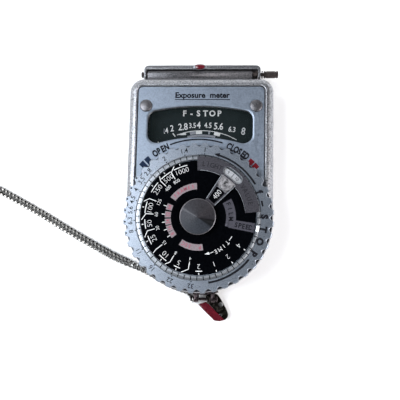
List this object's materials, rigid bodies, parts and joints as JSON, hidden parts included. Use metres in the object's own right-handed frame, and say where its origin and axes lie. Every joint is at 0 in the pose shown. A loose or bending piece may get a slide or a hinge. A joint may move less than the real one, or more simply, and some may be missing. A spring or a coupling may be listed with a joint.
{
  "type": "selenium photographic light meter",
  "caption": "Pocket selenium exposure meter with a hinged cell cover, an arched scale window, a notched f-stop ring with turning calculator discs, and a neck chain",
  "frame": {"origin": "on the dial's axis, in the flat outer plane of the back cover that the meter rests on", "axes": "+X to the meter's right, +Y to the cell end, +Z out of the face that carries the dial"},
  "size_m": [0.1411, 0.0852, 0.0207],
  "materials": {
    "casing_paint": "satin silver enamel with a fine speckle",
    "face_plate_metal": "satin blue-grey anodised",
    "ring_metal": "satin grey anodised, printed black",
    "graduation_silver": "bright satin with black ticks",
    "nickelled_steel": "nickel plated",
    "dark_chrome": "dark polished",
    "neck_paint": "dark grey satin",
    "clasp_nickel": "worn dark nickel",
    "chain_nickel": "nickel plated, polished",
    "disc_black": "semi-gloss black, printed white",
    "mask_grey": "satin dark grey, printed",
    "red_enamel": "glossy dark red enamel",
    "clear_glass": "clear polished",
    "brass": "plain turned",
    "magnet_iron": "ground grey",
    "coil_copper": null,
    "bearing_jewel": "polished ruby",
    "needle_white": "matt white",
    "scale_black": "matt black-green, printed white",
    "selenium_grey": "dull dark grey coating",
    "wire_red": "insulation",
    "wire_black": "insulation"
  },
  "bodies": {
    "meter": {"axle_drag_spring": "dark_chrome", "back_cover": "casing_paint", "back_cover_screw_1": "nickelled_steel", "back_cover_screw_2": "nickelled_steel", "back_cover_screw_3": "nickelled_steel", "back_cover_screw_4": "nickelled_steel", "bridge_screw_1": "nickelled_steel", "bridge_screw_2": "nickelled_steel", "cell_contact_left": "brass", "cell_contact_right": "brass", "cell_frame": "neck_paint", "cell_lens": "clear_glass", "centre_cap": "nickelled_steel", "chain_coil": "chain_nickel", "chain_end_link": "chain_nickel", "chain_far_ring": "chain_nickel", "chain_run": "chain_nickel", "chain_tail": "chain_nickel", "dial_post": "nickelled_steel", "dial_post_nut": "brass", "face_plate": "face_plate_metal", "face_rivet_left": "nickelled_steel", "face_rivet_right": "nickelled_steel", "friction_washer": "brass", "front_housing": "casing_paint", "hairspring": "nickelled_steel", "lead_wire_black": "wire_black", "lead_wire_red": "wire_red", "lower_bridge": "brass", "lower_jewel": "bearing_jewel", "lug_pin": "nickelled_steel", "magnet_yoke": "magnet_iron", "pole_core": "magnet_iron", "scale_plate": "scale_black", "selenium_cell": "selenium_grey", "strap_lug": "nickelled_steel", "upper_bridge": "brass", "upper_jewel": "bearing_jewel", "window_glass": "clear_glass"},
    "fstop_ring": {"fstop_ring": "ring_metal", "graduated_ring": "graduation_silver"},
    "speed_disc": {"speed_disc": "disc_black", "setting_tab": "nickelled_steel"},
    "film_mask": {"film_speed_mask": "mask_grey"},
    "needle": {"needle": "needle_white", "moving_coil": "coil_copper", "pivot_staff": "nickelled_steel", "counterweight": "brass"},
    "zero_screw": {"zero_adjust_screw": "nickelled_steel"},
    "zero_lever": {"zero_lever": "brass"},
    "cell_cover": {"cell_cover": "neck_paint", "hinge_pin_left": "dark_chrome", "hinge_axle": "dark_chrome", "axle_knob": "dark_chrome", "axle_collar_1": "dark_chrome", "axle_collar_2": "dark_chrome", "index_jewel": "red_enamel"},
    "clasp": {"clasp_body": "clasp_nickel", "clasp_rivet": "nickelled_steel"},
    "clasp_lever": {"clasp_lever": "red_enamel"}
  },
  "joints": [
    {"name": "fstop_ring_turn", "type": "hinge", "parent": "meter", "child": "fstop_ring", "pos_m": [0, 0, 0.0158], "axis": [0, 0, 1], "continuous": true},
    {"name": "speed_disc_turn", "type": "hinge", "parent": "meter", "child": "speed_disc", "pos_m": [0, 0, 0.0166], "axis": [0, 0, 1], "continuous": true},
    {"name": "film_mask_turn", "type": "hinge", "parent": "speed_disc", "child": "film_mask", "pos_m": [0, 0, 0.0174], "axis": [0, 0, 1], "range_deg": [-12, 100]},
    {"name": "needle_swing", "type": "hinge", "parent": "meter", "child": "needle", "pos_m": [0, 0.00655, 0.0051], "axis": [0, 0, 1], "range_deg": [-74, 0], "stiffness_Nm_per_rad": 0.0001, "springref_deg": 5.73},
    {"name": "zero_screw_turn", "type": "hinge", "parent": "meter", "child": "zero_screw", "pos_m": [0, 0.0126, 0.0007], "axis": [0, 0, 1], "range_deg": [-45, 45]},
    {"name": "zero_lever_swing", "type": "hinge", "parent": "meter", "child": "zero_lever", "pos_m": [0, 0.00655, 0.0019], "axis": [0, 0, 1], "range_deg": [-6, 6]},
    {"name": "cell_cover_hinge", "type": "hinge", "parent": "meter", "child": "cell_cover", "pos_m": [0, 0.0491, 0.0097], "axis": [1, 0, 0], "range_deg": [0, 100]},
    {"name": "clasp_swing", "type": "hinge", "parent": "meter", "child": "clasp", "pos_m": [0.0029, -0.0264, 0.0043], "axis": [1, 0, 0], "range_deg": [-95, 0]},
    {"name": "clasp_lever_open", "type": "hinge", "parent": "clasp", "child": "clasp_lever", "pos_m": [0.0072, -0.0317, 0.00155], "axis": [0, 0, 1], "range_deg": [0, 35], "stiffness_Nm_per_rad": 0.002, "springref_deg": -17.19}
  ],
  "couplings": [
    {"joint": "zero_lever_swing", "follows": "zero_screw_turn", "ratio": 0.1295}
  ]
}
